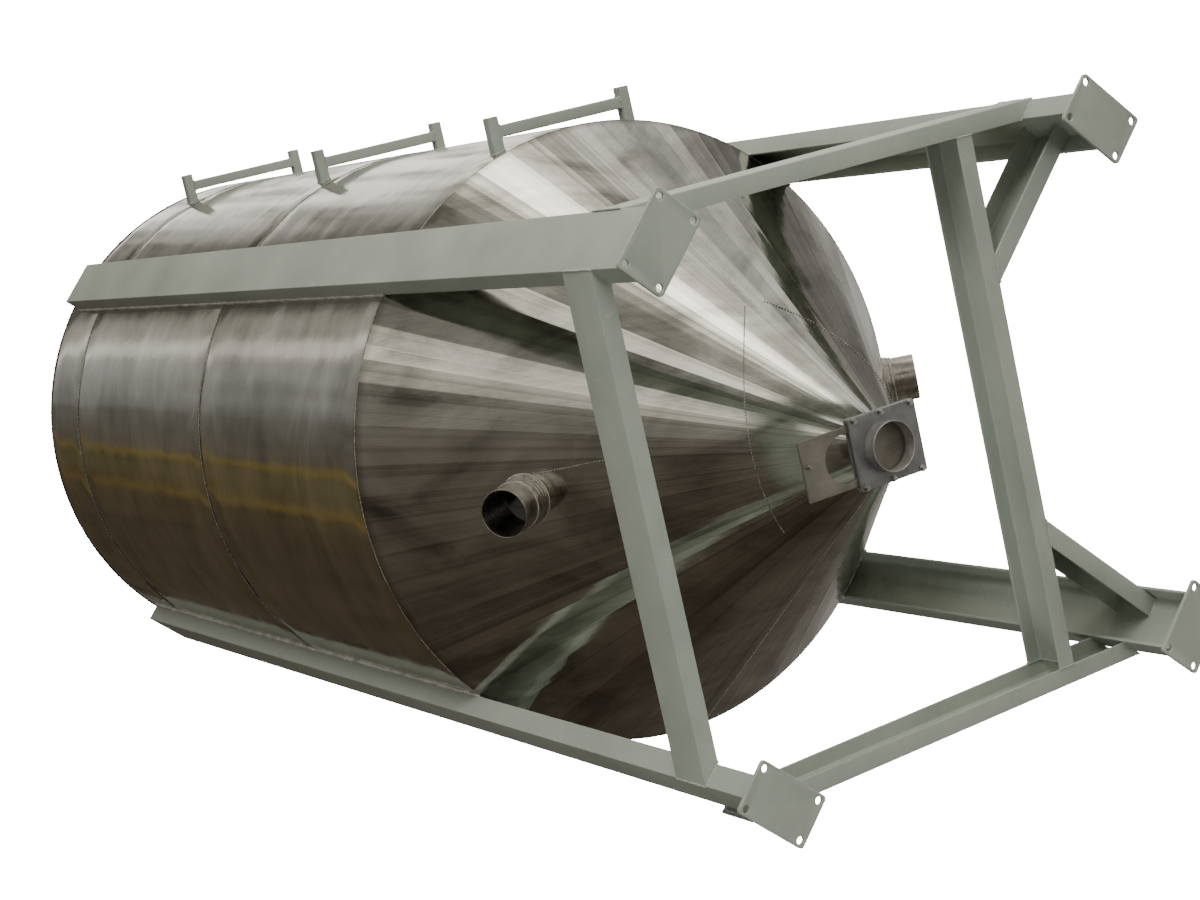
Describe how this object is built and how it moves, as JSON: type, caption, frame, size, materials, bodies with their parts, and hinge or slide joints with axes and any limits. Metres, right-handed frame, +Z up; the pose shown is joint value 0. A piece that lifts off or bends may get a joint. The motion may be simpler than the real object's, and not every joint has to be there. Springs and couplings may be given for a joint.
{
  "type": "storage silo",
  "caption": "Stainless steel cone-bottomed storage silo on a welded frame of painted steel channels, with a slide gate outlet, side nozzles and ladder stand-off brackets.",
  "frame": {"origin": "on the silo's axis at floor level, where the undersides of the foot plates lie", "axes": "+Z up along the silo's axis, from the outlet to the roof; -Y the front, where the gate blade sticks out; +X the side with the ladder brackets"},
  "size_m": [2.289, 2.2, 5.3805],
  "materials": {
    "stainless_sheet": "brushed and buffed sheet with weld marks",
    "stainless_pipe": "turned pipe",
    "frame_paint": "grey-green semi-gloss paint",
    "gate_plate": "dull rolled plate",
    "bright_pin": "bright turned"
  },
  "bodies": {
    "silo": {"shell_lower_front": "stainless_sheet", "shell_lower_back": "stainless_sheet", "shell_middle_front": "stainless_sheet", "shell_middle_back": "stainless_sheet", "shell_top_front": "stainless_sheet", "shell_top_back": "stainless_sheet", "cone_front": "stainless_sheet", "cone_back": "stainless_sheet", "roof_cone": "stainless_sheet", "roof_crown": "stainless_sheet", "nozzle_front_pipe": "stainless_pipe", "nozzle_front_collar": "stainless_pipe", "nozzle_back_pipe": "stainless_pipe", "nozzle_back_collar": "stainless_pipe", "leg_a": "frame_paint", "leg_b": "frame_paint", "leg_c": "frame_paint", "leg_d": "frame_paint", "foot_plate_a": "frame_paint", "foot_plate_b": "frame_paint", "foot_plate_c": "frame_paint", "foot_plate_d": "frame_paint", "brace_front": "frame_paint", "brace_right": "frame_paint", "brace_left": "frame_paint", "brace_back": "frame_paint", "knee_c": "frame_paint", "knee_d": "frame_paint", "bracket_top_post_front": "frame_paint", "bracket_top_post_back": "frame_paint", "bracket_top_bar": "frame_paint", "bracket_middle_post_front": "frame_paint", "bracket_middle_post_back": "frame_paint", "bracket_middle_bar": "frame_paint", "bracket_lower_post_front": "frame_paint", "bracket_lower_post_back": "frame_paint", "bracket_lower_bar": "frame_paint", "gate_upper_flange": "gate_plate", "gate_lower_flange": "gate_plate", "gate_packer_left": "gate_plate", "gate_packer_right": "gate_plate", "outlet_spout": "gate_plate"},
    "blade": {"gate_blade": "gate_plate", "blade_pin": "bright_pin"}
  },
  "joints": [
    {"name": "blade_slide", "type": "slide", "parent": "silo", "child": "blade", "axis": [0, 1, 0], "range_m": [0, 0.147]}
  ]
}
